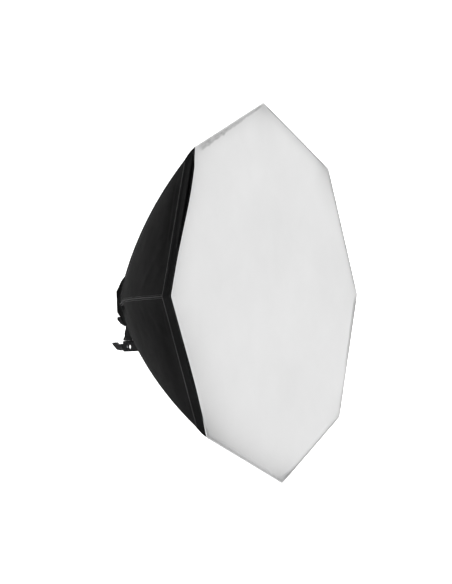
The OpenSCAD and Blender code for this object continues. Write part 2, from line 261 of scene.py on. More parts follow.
def ramp_between(nodes, links, fac, low, high, start=0.3, end=0.7):
    ramp = nodes.new("ShaderNodeValToRGB")
    ramp.color_ramp.elements[0].position = start
    ramp.color_ramp.elements[1].position = end
    ramp.color_ramp.elements[0].color = (*low, 1)
    ramp.color_ramp.elements[1].color = (*high, 1)
    links.new(fac, ramp.inputs["Fac"])
    return ramp.outputs["Color"]


def mapped(nodes, links, fac, low, high):
    node = nodes.new("ShaderNodeMapRange")
    node.inputs["To Min"].default_value = low
    node.inputs["To Max"].default_value = high
    links.new(fac, node.inputs["Value"])
    return node.outputs["Result"]


def maths(nodes, links, operation, a, b):
    node = nodes.new("ShaderNodeMath")
    node.operation = operation
    for socket, value in zip(node.inputs, (a, b)):
        if isinstance(value, (int, float)):
            socket.default_value = value
        else:
            links.new(value, socket)
    return node.outputs["Value"]


def bump(nodes, links, bsdf, heights):
    """Chains bump nodes. Each height is (output, distance, strength)."""
    normal = None
    for height, distance, strength in heights:
        node = nodes.new("ShaderNodeBump")
        node.inputs["Distance"].default_value = distance
        node.inputs["Strength"].default_value = strength
        links.new(height, node.inputs["Height"])
        if normal is not None:
            links.new(normal, node.inputs["Normal"])
        normal = node.outputs["Normal"]
    links.new(normal, bsdf.inputs["Normal"])


def weave(nodes, links, coords, pitch):
    """Over and under threads of a plain weave, from coordinates in metres."""
    parts = nodes.new("ShaderNodeSeparateXYZ")
    links.new(coords, parts.inputs["Vector"])
    turn = 2 * math.pi / pitch
    across = maths(nodes, links, "SINE", maths(nodes, links, "MULTIPLY", parts.outputs["X"], turn), 0)
    along = maths(nodes, links, "SINE", maths(nodes, links, "MULTIPLY", parts.outputs["Y"], turn), 0)
    return maths(nodes, links, "MULTIPLY", across, along)


def cloth(name, dark, light, roughness, pitch, weave_depth=0.06 * MM, crumple=0.35 * MM, toned=False,
          **sockets):
    """Woven cloth on uv coordinates in metres: thread pattern, soft crumples, uneven dye and, for toned
    cloth, painted shade from the mesh's tone colours.
    """
    material, nodes, links, bsdf = shader(name, light, roughness[0], **sockets)
    coords = nodes.new("ShaderNodeTexCoord")
    uv, world = coords.outputs["UV"], coords.outputs["Object"]
    patchy = noise_node(nodes, links, world, 9, 4, 0.6)
    dye = ramp_between(nodes, links, patchy, dark, light)
    # Toned cloth multiplies painted shade from the mesh's tone colours into its colour.
    if toned:
        tone = nodes.new("ShaderNodeVertexColor")
        tone.layer_name = "tone"
        shade = nodes.new("ShaderNodeMix")
        shade.data_type = "RGBA"
        shade.blend_type = "MULTIPLY"
        shade.inputs["Factor"].default_value = 1
        links.new(dye, shade.inputs["A"])
        links.new(tone.outputs["Color"], shade.inputs["B"])
        dye = shade.outputs["Result"]
    links.new(dye, bsdf.inputs["Base Color"])
    worn = noise_node(nodes, links, world, 40, 5, 0.65)
    links.new(mapped(nodes, links, worn, *roughness), bsdf.inputs["Roughness"])
    creases = noise_node(nodes, links, world, 26, 6, 0.62)
    threads = weave(nodes, links, uv, pitch)
    bump(nodes, links, bsdf, [(creases, crumple, 0.6), (threads, weave_depth, 0.5)])
    return material


def moulded(name, color, roughness, grain=900, depth=0.05 * MM, **sockets):
    """Moulded plastic or powder coat: fine grain, a little dust and handling wear."""
    material, nodes, links, bsdf = shader(name, color, roughness, **sockets)
    coords = nodes.new("ShaderNodeTexCoord")
    world = coords.outputs["Object"]
    soil = noise_node(nodes, links, world, 35, 6, 0.7)
    lighter = tuple(min(c * 1.7 + 0.004, 1) for c in color)
    links.new(ramp_between(nodes, links, soil, color, lighter, 0.45, 0.85), bsdf.inputs["Base Color"])
    links.new(mapped(nodes, links, soil, roughness - 0.08, roughness + 0.12), bsdf.inputs["Roughness"])
    fine = noise_node(nodes, links, world, grain, 2, 0.5)
    bump(nodes, links, bsdf, [(soil, 0.1 * MM, 0.25), (fine, depth, 0.6)])
    return material


def drawn_metal(name, color, roughness):
    """Plated or drawn metal with fine streaks along Y."""
    material, nodes, links, bsdf = shader(name, color, roughness, Metallic=1.0)
    coords = nodes.new("ShaderNodeTexCoord")
    stretch = nodes.new("ShaderNodeMapping")
    stretch.inputs["Scale"].default_value = (1, 0.03, 1)
    links.new(coords.outputs["Object"], stretch.inputs["Vector"])
    streaks = noise_node(nodes, links, stretch.outputs["Vector"], 700, 4, 0.6)
    dull = noise_node(nodes, links, coords.outputs["Object"], 60, 4, 0.6)
    darker = tuple(c * 0.72 for c in color)
    links.new(ramp_between(nodes, links, dull, darker, color), bsdf.inputs["Base Color"])
    links.new(mapped(nodes, links, streaks, roughness - 0.1, roughness + 0.15), bsdf.inputs["Roughness"])
    bump(nodes, links, bsdf, [(streaks, 0.03 * MM, 0.4)])
    return material


black_nylon = cloth("black_nylon", (0.0042, 0.0042, 0.0044), (0.0068, 0.0068, 0.007), (0.66, 0.84),
                    0.5 * MM, Specular_IOR_Level=0.015)
silver_lining = cloth("silver_lining", (0.5, 0.5, 0.52), (0.68, 0.68, 0.7), (0.34, 0.52), 0.5 * MM,
                      crumple=0.8 * MM, Metallic=0.85)
lip_webbing = cloth("lip_webbing", (0.0052, 0.0052, 0.0054), (0.0078, 0.0078, 0.008), (0.8, 0.95), 0.9 * MM,
                    weave_depth=0.12 * MM, Specular_IOR_Level=0.015)
binding_tape = cloth("binding_tape", (0.02, 0.02, 0.0205), (0.04, 0.04, 0.041), (0.5, 0.7), 0.7 * MM,
                     weave_depth=0.1 * MM, Specular_IOR_Level=0.06)
seam_edge = cloth("seam_edge", (0.011, 0.011, 0.0115), (0.022, 0.022, 0.023), (0.55, 0.75), 0.7 * MM,
                  weave_depth=0.1 * MM, Specular_IOR_Level=0.06)
white_diffusion = cloth("white_diffusion", (0.735, 0.735, 0.735), (0.76, 0.76, 0.76), (0.8, 0.95),
                        0.35 * MM, weave_depth=0.03 * MM, crumple=0.25 * MM, toned=True,
                        Specular_IOR_Level=0.1)
white_hem = cloth("white_hem", (0.73, 0.73, 0.735), (0.79, 0.79, 0.79), (0.75, 0.9), 0.6 * MM,
                  weave_depth=0.1 * MM, crumple=0.5 * MM, toned=True, Specular_IOR_Level=0.1)
black_thread = cloth("black_thread", (0.03, 0.03, 0.031), (0.05, 0.05, 0.051), (0.45, 0.6), 0.3 * MM)
white_thread = cloth("white_thread", (0.7, 0.7, 0.7), (0.8, 0.8, 0.8), (0.5, 0.65), 0.3 * MM)
head_plastic = moulded("head_plastic", (0.008, 0.008, 0.0085), 0.55, Specular_IOR_Level=0.15)
block_coat = moulded("block_coat", (0.011, 0.011, 0.012), 0.62, grain=1400, Specular_IOR_Level=0.12)
lever_plastic = moulded("lever_plastic", (0.011, 0.011, 0.012), 0.42, grain=1100, Specular_IOR_Level=0.22)
gloss_black = moulded("gloss_black", (0.008, 0.008, 0.008), 0.22, depth=0.01 * MM)
rocker_red = moulded("rocker_red", (0.35, 0.012, 0.01), 0.25, depth=0.01 * MM)
cream_plastic = moulded("cream_plastic", (0.72, 0.69, 0.6), 0.45)
white_powder = moulded("white_powder", (0.72, 0.72, 0.72), 0.4, grain=1600)
black_rubber = moulded("black_rubber", (0.015, 0.015, 0.015), 0.75)
wire_sheath = moulded("wire_sheath", (0.3, 0.04, 0.03), 0.5)
friction_fibre = moulded("friction_fibre", (0.02, 0.016, 0.013), 0.8, grain=600, depth=0.12 * MM)
opal_dome = moulded("opal_dome", (0.85, 0.85, 0.85), 0.35, depth=0.01 * MM, Subsurface_Weight=0.2)
zinc = drawn_metal("zinc", (0.55, 0.55, 0.57), 0.34)
spring_steel = drawn_metal("spring_steel", (0.26, 0.26, 0.27), 0.34)
brass = drawn_metal("brass", (0.68, 0.5, 0.22), 0.32)
loop_pile = cloth("loop_pile", (0.012, 0.012, 0.012), (0.022, 0.022, 0.022), (0.85, 0.95), 1.4 * MM,
                  weave_depth=0.5 * MM, Sheen_Weight=0.2)
hook_pile = cloth("hook_pile", (0.5, 0.5, 0.5), (0.65, 0.65, 0.65), (0.7, 0.85), 1.2 * MM,
                  weave_depth=0.5 * MM)

node_looks = {
    "rod_socket_ring": head_plastic, "rear_cover": head_plastic, "bracket_arm": head_plastic,
    "lamp_plate": white_powder, "cover_screws": zinc, "holder_screws": zinc, "swivel_bolt": zinc,
    "spring_washers": zinc, "clamp_screw": zinc, "terminal_block": cream_plastic, "lamp_bases": zinc,
    "lamp_globes": opal_dome, "wiring": wire_sheath, "switch_frame_1": gloss_black,
    "switch_frame_2": gloss_black, "mains_inlet": gloss_black, "rocker_1": rocker_red,
    "rocker_2": rocker_red, "inlet_pins": brass, "clamp_pad": spring_steel, "clamp_block": block_coat,
    "friction_washer": friction_fibre, "clamp_lever": lever_plastic,
    **{f"lampholder_{k}": cream_plastic for k in range(1, 5)},
}
for node, look in node_looks.items():
    for node_slot in bpy.data.objects[node].material_slots:
        node_slot.material = look


# ---------------------------------------------------------------- the fabric shell
GORE_COLS = 37
GORE_ROWS = 91
GORE_LENGTH = ARC_R * (REAR_ANGLE - rib_angle(0.0))
# How far the fabric between two rods stands out beyond flat.
FULLNESS = 8.5 * MM
# Long folds behind the rim by gore: where each starts and ends across it, its distance from the rim
# at both ends in millimetres, and its height in millimetres.
RIM_FOLDS = {4: [(0.06, 0.66, 76, 68, 2.4)], 3: [(0.08, 0.3, 62, 70, 1.2)], 1: [(0.45, 0.97, 62, 70, 2.0)],
             6: [(0.3, 0.72, 74, 66, 1.6)], 0: [(0.05, 0.4, 70, 62, 1.8)]}
# Gores that are drawn in, or for a minus sign stand out, where they meet the collar: where across, by
# how many millimetres, and how wide.
HOLLOWS = {3: (0.15, 10, 0.15), 4: (0.75, -3, 0.28), 0: (0.6, -5, 0.28), 7: (0.3, -3, 0.28)}


def crease_lines(x, y, angle, spacing, length, seed):
    """Sharp-topped soft folds that run along one direction, in -0.5 to 1."""
    across = x * math.cos(angle) + y * math.sin(angle)
    along = -x * math.sin(angle) + y * math.cos(angle)
    wave = wobble(across / spacing, along / length, seed, seed)
    return 1 - 2.6 * abs(wave) if abs(wave) < 0.5 else -0.3


def gore_height(gore, u, s):
    """How far the fabric stands out of the flat gore, in metres: its fullness, folds and crumples."""
    taut = 4 * u * (1 - u)
    x, y = (u - 0.5), s * GORE_LENGTH
    seed = gore * 2.3
    width = 2 * math.sin(HALF_GORE) * (FRONT_R + (REAR_R - FRONT_R) * s)
    x_m = x * width
    fill = FULLNESS * taut * math.sin(math.pi * min(s * 1.02, 1)) ** 0.8 * smooth_step(0.085, 0.24, s)
    rim_fold = crease_lines(x_m, y, math.pi / 2 + 0.05 * wobble(seed, 1, 2), 52 * MM, 700 * MM, seed + 1)
    rim_fold *= 0.8 * MM * smooth_step(0.05, 0.12, s) * (1 - smooth_step(0.12, 0.42, s))
    lean = math.radians(38)
    corner_a = crease_lines(x_m, y, lean, 46 * MM, 420 * MM, seed + 5) * (1 - smooth_step(0.1, 0.75, u))
    corner_b = crease_lines(x_m, y, -lean, 46 * MM, 420 * MM, seed + 9) * smooth_step(0.25, 0.9, u)
    diagonal = (corner_a + corner_b) * 0.9 * MM * (1 - smooth_step(0.35, 0.8, s))
    gather = crease_lines(x_m, y, 0.0, 15 * MM, 240 * MM, seed + 3)
    gather *= 0.9 * MM * smooth_step(0.55, 0.95, s)
    soft = 1.6 * MM * wobble(x_m * 9, y * 9, seed, 4)
    fold = 0.0
    for start, end, near_start, near_end, height in RIM_FOLDS.get(gore, []):
        t = (u - start) / (end - start)
        line = (near_start + (near_end - near_start) * t + 3 * wobble(u * 4, seed, 1)) * MM
        along = smooth_step(0.0, 0.2, t) * (1 - smooth_step(0.8, 1.0, t))
        ridge = near(y - line, 3.2 * MM) - 0.5 * near(y - line - 7 * MM, 5 * MM)
        fold += height * MM * along * ridge
    centre, depth, reach = HOLLOWS.get(gore, (0.5, 0.0, 0.3))
    hollow = depth * MM * math.exp(-((s - 0.93) / 0.075) ** 2 - ((u - centre) / reach) ** 2)
    ends = smooth_step(0.082, 0.12, s) * (1 - smooth_step(0.965, 1.0, s))
    wrinkles = (rim_fold + diagonal + gather + soft) * min(1.0, taut * 1.6)
    return fill + (wrinkles + fold - hollow * min(1.0, taut * 2.5)) * ends


def gore_frame(gore, s, inset):
    """The two edge points and outward normal of a gore at s from front to rear."""
    first = rib_angle(gore_low[1] - FRONT_Y, inset)
    a = first + (REAR_ANGLE - first) * s
    r, d = rib_point(a, inset)
    low, high = (place(r, -2 * HALF_GORE * k, d) for k in (gore + 1, gore))
    phi = -2 * HALF_GORE * (gore + 0.5)
    slope = np.array([-math.sin(a) * math.cos(HALF_GORE) * math.cos(phi), math.cos(a),
                      -math.sin(a) * math.cos(HALF_GORE) * math.sin(phi)])
    out = np.cross(slope, high - low)
    return low, high, out / np.linalg.norm(out)


for gore in range(8):
    verts, uvs = [], []
    for i in range(GORE_ROWS):
        s = i / (GORE_ROWS - 1)
        low, high, out = gore_frame(gore, s, GORE_INSET)
        half = np.linalg.norm(high - low) / 2
        for j in range(GORE_COLS):
            u = j / (GORE_COLS - 1)
            verts.append(low + (high - low) * u + out * gore_height(gore, u, s))
            uvs.append((half * (2 * u - 1), s * GORE_LENGTH))
    piece = mesh_piece(f"shell_gore_{gore + 1}", verts, grid_faces(GORE_ROWS, GORE_COLS, flip=True),
                       [black_nylon, silver_lining], slot="shell_fabric", uvs=uvs)
    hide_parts(f"gore_{gore + 1}")
    thicken(piece, NYLON_THICKNESS, lined=True)

# ---------------------------------------------------------------- rods, their tips and pockets
ROD_R = 2 * MM
ROD_SIDES = 14
TIP_R = 2.6 * MM
ROD_INSET = 5.4 * MM
ROD_FRONT = 9 * MM
ROD_END_R = (ring_high[0] - ring_low[0]) / 2 - 11.8 * MM


def along_rib(k, start, end, steps, inset):
    """Frames of (centre, across, out) along rib k between two angles on its arc."""
    phi = -2 * HALF_GORE * k
    side = np.array([-math.sin(phi), 0, math.cos(phi)])
    frames = []
    for i in range(steps):
        a = start + (end - start) * i / (steps - 1)
        r, d = rib_point(a, inset)
        out = np.array([math.cos(a) * math.cos(phi), math.sin(a), math.cos(a) * math.sin(phi)])
        frames.append((place(r, phi, d, soft=False), side, out))
    return frames


def ring_profile(radius):
    turns = [2 * math.pi * i / ROD_SIDES for i in range(ROD_SIDES)]
    return [(radius * math.cos(a), radius * math.sin(a)) for a in turns]


def tip_profile(i):
    """A rubber cap with a round nose and two raised rings."""
    back_from_end = 12.6 * i / 13 * MM
    radius = TIP_R * math.sqrt(max(1 - (1 - min(back_from_end / TIP_R, 1)) ** 2, 0.02))
    return ring_profile(radius + 0.25 * MM * (i in (9, 11)))


def pocket_profile(i):
    """A flat webbing pocket over the rod, narrower towards its rear end."""
    narrow = 1 - 0.25 * smooth_step(6, 11, i)
    rows = [(12 * MM * narrow * x / 6, -(2.75 + 1.1 * (1 - (x / 6) ** 2)) * MM) for x in range(-6, 7)]
    return rows + [(x, y - 0.9 * MM) for x, y in reversed(rows)]


rod_first = rib_angle(ROD_FRONT, ROD_INSET)
rod_last = math.acos((ROD_END_R - ARC_CENTRE_R) / (ARC_R - ROD_INSET))
for k in range(8):
    phi = -2 * HALF_GORE * k
    wire_ends = sweep(along_rib(k, rod_first, rod_last, 72, ROD_INSET), ring_profile(ROD_R))
    rod = mesh_piece(f"rod_wire_{k + 1}", *wire_ends, [spring_steel], slot="spring_steel")
    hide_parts(f"rod_{k + 1}")
    tip_path = along_rib(k, rod_first - TIP_R / ARC_R, rod_first + 10 * MM / ARC_R, 14, ROD_INSET)
    tip = mesh_piece(f"rod_tip_{k + 1}", *sweep(tip_path, tip_profile), [black_rubber], slot="black_rubber")
    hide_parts("rod_tips")
    pocket_path = along_rib(k, rib_angle(5 * MM, ROD_INSET), rib_angle(38 * MM, ROD_INSET), 12, ROD_INSET)
    pocket = mesh_piece(f"rod_pocket_{k + 1}", *sweep(pocket_path, pocket_profile), [lip_webbing],
                        slot="band_fabric")
    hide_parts("rod_pockets")

# ---------------------------------------------------------------- rib seams
SEAM_ROWS = 120
SEAM_INSET = 1.3 * MM
SEAM_HALF = 1.4 * MM
STITCH_OFF = 4.2 * MM      # from a rib's line to the stitches beside it
RIB_PITCH = 4.2 * MM


def taper(i, count):
    """1 along the middle of a row and 0 at its ends."""
    return math.sin(math.pi * i / (count - 1)) ** 0.5


seam_runs = []
for k in range(8):
    phi = -2 * HALF_GORE * k
    first, last = rib_angle(LIP_D - 3 * MM), REAR_ANGLE + 3 * MM / ARC_R
    side = np.array([-math.sin(phi), 0, math.cos(phi)])
    front_angle = rib_angle(gore_low[1] - FRONT_Y, GORE_INSET)
    path, edges = [], ([], [])
    for i in range(SEAM_ROWS):
        a = first + (last - first) * i / (SEAM_ROWS - 1)
        r, d = rib_point(a, SEAM_INSET)
        out = np.array([math.cos(a) * math.cos(phi), math.sin(a), math.cos(a) * math.sin(phi)])
        centre = place(r, phi, d)
        sway = 2.4 * wobble(i * 0.035, k, 6.0) * taper(i, SEAM_ROWS)
        wave = (0.35 * wobble(i * 0.13, k, 3.0) + sway) * MM
        centre = centre + side * wave
        path.append((centre, side, out))
        share = min(max((a - front_angle) / (REAR_ANGLE - front_angle), 0.0), 1.0)
        for edge, sign, gore in zip(edges, (-1, 1), (k, (k - 1) % 8)):
            away = max(STITCH_OFF + sign * wave, 0.0)
            across = away / (2 * r * math.sin(HALF_GORE))
            lift = gore_height(gore, 1 - across if gore == k else across, share)
            drop = away * math.tan(HALF_GORE) - 0.25 * MM - lift
            edge.append((centre + side * sign * STITCH_OFF - out * drop, out))

    def seam_profile(i):
        fill = 1 + 0.12 * wobble(i * 0.21, k * 3.0, 1.0)
        tops = []
        for j in range(9):
            x = SEAM_HALF * (j / 4 - 1)
            drop = (math.hypot(x, 1.2 * MM) - 1.2 * MM) * math.tan(HALF_GORE)
            lift = 1.15 * MM * fill * (1 - (x / SEAM_HALF) ** 4)
            tops.append((x, 0.1 * MM + lift - drop))
        return tops + [(x, y - 0.8 * MM) for x, y in reversed(tops)]

    verts, faces = sweep(path, seam_profile)
    seam = mesh_piece(f"rib_seam_{k + 1}", verts, faces, [seam_edge], slot="band_fabric",
                      uvs=[(0.0006 * (n % 18), 0.004 * (n // 18)) for n in range(len(verts))])
    for edge in edges:
        seam_runs.append(stitch_run([p for p, _ in edge], [o for _, o in edge], RIB_PITCH))
seam_thread = stitches("rib_seam_stitches", seam_runs, black_thread, slot="band_fabric")


# ---------------------------------------------------------------- octagonal borders
CORNER_STEPS = 6
SIDE_STEPS = 92
CORNER_RADIUS = 7 * MM
SIDE = 2 * FRONT_R * math.sin(HALF_GORE)
FLAT = math.cos(HALF_GORE)


def octagon_path():
    """Points of the unit octagon with rounded corners: x, z and the share, which is n at corner n."""
    samples = []
    radius = CORNER_RADIUS / FRONT_R
    trim = radius * math.tan(HALF_GORE)
    for k in range(8):
        a0, a1 = 2 * HALF_GORE * k, 2 * HALF_GORE * (k + 1)
        p0 = np.array([math.cos(a0), math.sin(a0)])
        p1 = np.array([math.cos(a1), math.sin(a1)])
        length = np.linalg.norm(p1 - p0)
        inner = p0 * (1 - radius / FLAT)
        for i in range(CORNER_STEPS):
            a = a0 + HALF_GORE * (2 * i / CORNER_STEPS - 1)
            q = inner + radius * np.array([math.cos(a), math.sin(a)])
            samples.append((q[0], q[1], (k + trim / length * (2 * i / CORNER_STEPS - 1)) % 8))
        for i in range(SIDE_STEPS):
            t = trim / length + (1 - 2 * trim / length) * i / SIDE_STEPS
            q = p0 + (p1 - p0) * t
            samples.append((q[0], q[1], k + t))
    return samples


OCTAGON = octagon_path()
AROUND = len(OCTAGON)


def from_corner(share, corner=None):
    """Distance along the border from a corner, or from the nearest one."""
    if corner is None:
        return min(share % 1, 1 - share % 1) * SIDE
    return abs((share - corner + 4) % 8 - 4) * SIDE


def on_side(share, side):
    """1 along one side of the octagon, and 0 from its corners on."""
    t = share - side
    return smooth_step(0.0, 0.09, t) * (1 - smooth_step(0.91, 1.0, t)) if 0 < t < 1 else 0.0


def border_point(sample, r, d, out=0.0):
    """A point on the octagon of corner radius r at depth d. out moves it away from the axis."""
    x, z, share = sample
    away = out / math.hypot(x, z)
    dx, dz = drift(math.atan2(z, x), max(d, 0))
    scale = r / FRONT_R
    return np.array([x * (r + away) + dx * scale, FRONT_Y + d, AXIS_Z + z * (r + away) + dz * scale])


def border_mesh(profile):
    """Vertices and uvs of a profile carried round the octagon. profile gives (radius, depth, out) rows."""
    verts, uvs, length, last = [], [], 0.0, None
    for sample in OCTAGON:
        points = [border_point(sample, *row) for row in profile(sample)]
        length += float(np.linalg.norm(points[0] - last)) if last is not None else 0.0
        last, across = points[0], 0.0
        for i, p in enumerate(points):
            across += float(np.linalg.norm(p - points[i - 1])) if i else 0.0
            verts.append(p)
            uvs.append((length, across))
    return verts, uvs, len(points)


def border_faces(count):
    """The closed tube of faces between the points of border_mesh."""
    return grid_faces(AROUND, count, wrap_rows=True, wrap_cols=True)


def border_run(profile_point, pitch):
    """Stitches round the octagon through profile_point(sample), which gives a point and its outward."""
    pairs = [profile_point(sample) for sample in OCTAGON + OCTAGON[:1]]
    return stitch_run([p for p, _ in pairs], [o for _, o in pairs], pitch)


# the black lip band, folded over the front edge
LIP_BACK = LIP_D / MM + 0.3
LIP_PITCH = 4.0 * MM
STITCH_LIFT = 0.15 * MM


def lip_swell(share, d):
    """How far the band stands out of its cone: pockets at the corners, ripples between them."""
    corner = from_corner(share)
    pocket = 2.8 * near(corner, 11 * MM) * math.sin(math.pi * min(d / (LIP_BACK + 4), 1))
    pocket += 1.6 * on_side(share, 3) * near(d - 31, 3)
    ripple = 0.55 * wobble(share * 15, 0.3, 5.0) + 0.3 * wobble(share * 41, d * 0.1, 8.0)
    return (pocket + ripple * (1 - near(corner, 40 * MM)) * math.sin(math.pi * d / (LIP_BACK + 0.7))) * MM


def lip_radius(d):
    return rib_point(rib_angle(d * MM), 0)[0]


def lip_rows(sample):
    share = sample[2]
    across = (0.9, 2, 4, 7, 11, 16, 21, 26, 31, 36, LIP_BACK - 5, LIP_BACK - 1.5, LIP_BACK - 0.5, LIP_BACK)
    outer = [(lip_radius(d), d * MM, lip_swell(share, d)) for d in across]
    inner = [(r - 1.1 * MM, d, swell * 0.9) for r, d, swell in reversed(outer[3:])]
    flange = [(lip_radius(6.2) - 1.3 * MM, 6.2 * MM, 0), (FRONT_R - 34 * MM, 6.2 * MM, 0),
              (FRONT_R - 34 * MM, 5.3 * MM, 0), (lip_radius(5.3) - 1.3 * MM, 5.3 * MM, 0)]
    front = [(lip_radius(2) - 1.2 * MM, 2 * MM, 0), (lip_radius(0.9) - 1.2 * MM, 0.9 * MM, 0),
             (FRONT_R - 0.9 * MM, 0.3 * MM, 0)]
    return outer + inner + flange + front


def on_lip(d):
    """Points on the lip band d millimetres from the front, for stitches."""
    def point(sample):
        phi = math.atan2(sample[1], sample[0])
        out = np.array([math.cos(phi) * 0.82, 0.57, math.sin(phi) * 0.82])
        return border_point(sample, lip_radius(d), d * MM, lip_swell(sample[2], d) + STITCH_LIFT), out
    return point


verts, uvs, count = border_mesh(lip_rows)
lip = mesh_piece("lip_band_cloth", verts, border_faces(count),
                 [lip_webbing], slot="band_fabric", uvs=uvs)
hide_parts("lip_band", "lip_flange")
lip_runs = [border_run(on_lip(d), LIP_PITCH) for d in (4.5, LIP_BACK - 4.1)]
lip_thread = stitches("lip_stitches", lip_runs, black_thread, slot="band_fabric")


def binding_rows(sample):
    share = sample[2]
    rows = []
    for i in range(8):
        a = 2 * math.pi * i / 8
        d = LIP_BACK - 1.1 + 1.5 * math.cos(a)
        sunk = 0.55 * near(share - 3.76, 0.2)
        rows.append((lip_radius(d), d * MM, lip_swell(share, d) + (0.1 - sunk + 0.65 * math.sin(a)) * MM))
    return rows


verts, uvs, count = border_mesh(binding_rows)
binding = mesh_piece("lip_edge_binding", verts, border_faces(count),
                     [binding_tape], slot="band_fabric", uvs=uvs)

# the hook and loop tapes between the lip and the white cloth
for name, look in (("loop_tape", loop_pile), ("hook_tape", hook_pile)):
    low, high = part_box(name)
    front, rear = low[1] - FRONT_Y, high[1] - FRONT_Y
    rows = [(FRONT_R - 5.4 * MM, front, 0), (FRONT_R - 30 * MM, front, 0), (FRONT_R - 30 * MM, rear, 0),
            (FRONT_R - 5.4 * MM, rear, 0)]
    verts, uvs, count = border_mesh(lambda sample, rows=rows: rows)
    tape = mesh_piece(f"{name}_strip", verts, border_faces(count), [look],
                      slot="tape" if name == "loop_tape" else "hem_tape", uvs=uvs)
    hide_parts(name)

# ---------------------------------------------------------------- the white front
# How far the cloth rolls back towards each side, and how far in that reaches, in millimetres.
ROLLS = {0: (1.5, 12), 1: (1.7, 16), 2: (1.3, 16), 3: (0.4, 10), 4: (0.6, 14), 5: (4.2, 40), 6: (1.9, 15),
         7: (1.0, 12)}
# How much painted shade darkens it towards each side, and how far in that reaches, in millimetres.
SHADES = {0: (0.09, 14), 1: (0.1, 18), 2: (0.07, 16), 3: (0.05, 30), 4: (0.17, 62), 5: (0.27, 40),
          6: (0.11, 18), 7: (0.07, 14)}
# How strongly the rods' tips dent the cloth, and how much painted shade lies round them, by corner.
CORNER_PULLS = {0: 0.35, 1: 1.0, 2: 0.8, 3: 0.25, 5: 0.12, 6: 0.35, 7: 0.25}
HEM_W = 11
HEM_PITCH = 3.6 * MM
BULGE = 4.5


def from_side(x, z, side):
    """Distance in millimetres from one side's line to a point."""
    a = 2 * HALF_GORE * (side + 0.5)
    return (FRONT_R * FLAT - x * math.cos(a) - z * math.sin(a)) / MM


def front_depth(sample, r):
    """Depth of the white cloth behind the front plane where the octagon's corner radius is r."""
    x, z, share = sample
    edge = (FRONT_R - r) * FLAT / MM
    px, pz = x * r, z * r
    inward = 1 - math.exp(-edge / 16)
    depth = -BULGE * inward
    for side, (amount, reach) in ROLLS.items():
        depth += amount * near(from_side(px, pz, side), reach)
    depth += on_side(share, 2) * 1.3 * wobble(share * 34, edge * 0.22, 1.0) * near(edge, 16)
    depth += on_side(share, 0) * 1.2 * abs(wobble(share * 26, edge * 0.1, 4.0)) * near(edge, 9)
    for corner, amount in CORNER_PULLS.items():
        along = from_corner(share, corner)
        spread = near(math.hypot(along, (FRONT_R - r)), 95 * MM)
        depth += amount * spread * (1.2 + 2.2 * wobble(px * 17 + corner, pz * 17, 7.0))
    depth += 2.6 * wobble(px * 3.6, pz * 3.6, 2.0) * inward + 0.8 * wobble(px * 11, pz * 11, 6.0) * inward
    depth += 0.5 * wobble(share * 40, edge * 0.05, 3.0) * near(edge - 14, 14)
    return depth * MM


def front_painted_shade(sample, r):
    """How light the cloth looks, from 0 to 1: painted shade along its sides, in a grey strip and at its
    corners, and the dark flange behind it showing through.
    """
    x, z, share = sample
    edge = (FRONT_R - r) * FLAT / MM
    tone = 1 - 0.025 * wobble(x * r * 4, z * r * 4, 11.0)
    rim = smooth_step(0.5, 6.0, edge)
    # Painted shade darkening the cloth towards each side.
    for side, (amount, reach) in SHADES.items():
        upper = smooth_step(3.9, 4.5, share) if side == 4 else 1.0
        inward = max(from_side(x * r, z * r, side) - 5, 0)
        tone -= amount * math.exp(-(inward / reach) ** 1.3) * rim * (0.35 + 0.65 * upper)
    # Painted shade in a wrinkled grey strip along side 2, darkest at the edge.
    grey_strip = on_side(share, 2)
    if grey_strip:
        border = 7 + 10 * (share - 2) + 3.5 * wobble(share * 23, 1, 1)
        strip = (1 - smooth_step(border - 2.5, border + 2.0, edge)) * smooth_step(2.0, 5.0, edge)
        tone -= grey_strip * strip * (0.32 + 0.2 * wobble(share * 26, edge * 0.2, 6.0))
        tone -= grey_strip * 0.18 * near(edge - 0.5, 1.6)
    # Painted shade as a dark outline along sides 0, 1, 6 and 7.
    tone -= max(on_side(share, 1), on_side(share, 6)) * 0.42 * near(edge, 6)
    tone -= max(on_side(share, 0), on_side(share, 7)) * 0.36 * near(edge, 11)
    # Painted shade in a wide band along side 7.
    side_band_shade = smooth_step(7.3, 7.6, share) * (1 - smooth_step(7.93, 8.0, share))
    tone -= side_band_shade * 0.26 * (1 - smooth_step(19, 25, edge + 5 * wobble(share * 9, 0, 3)))
    # Painted shade in patches along side 0's edge.
    patchy_edge_shade = smooth_step(0.15, 0.35, wobble(share * 17, 2.0, 2.0))
    tone -= on_side(share, 0) * patchy_edge_shade * 0.3 * near(edge - 2, 3)
    # Painted shade round the corners where the rods' tips pull the cloth.
    for corner, amount in CORNER_PULLS.items():
        distance = math.hypot(from_corner(share, corner), FRONT_R - r)
        tone -= amount * 0.17 * near(distance, 55 * MM) * smooth_step(0.0, 3.0, edge)
    return max(tone, 0.3)


def add_tone(piece, tones):
    layer = piece.data.color_attributes.new(name="tone", type="FLOAT_COLOR", domain="POINT")
    layer.data.foreach_set("color", np.repeat(np.asarray(tones, np.float32)[:, None], 4, axis=1).ravel())


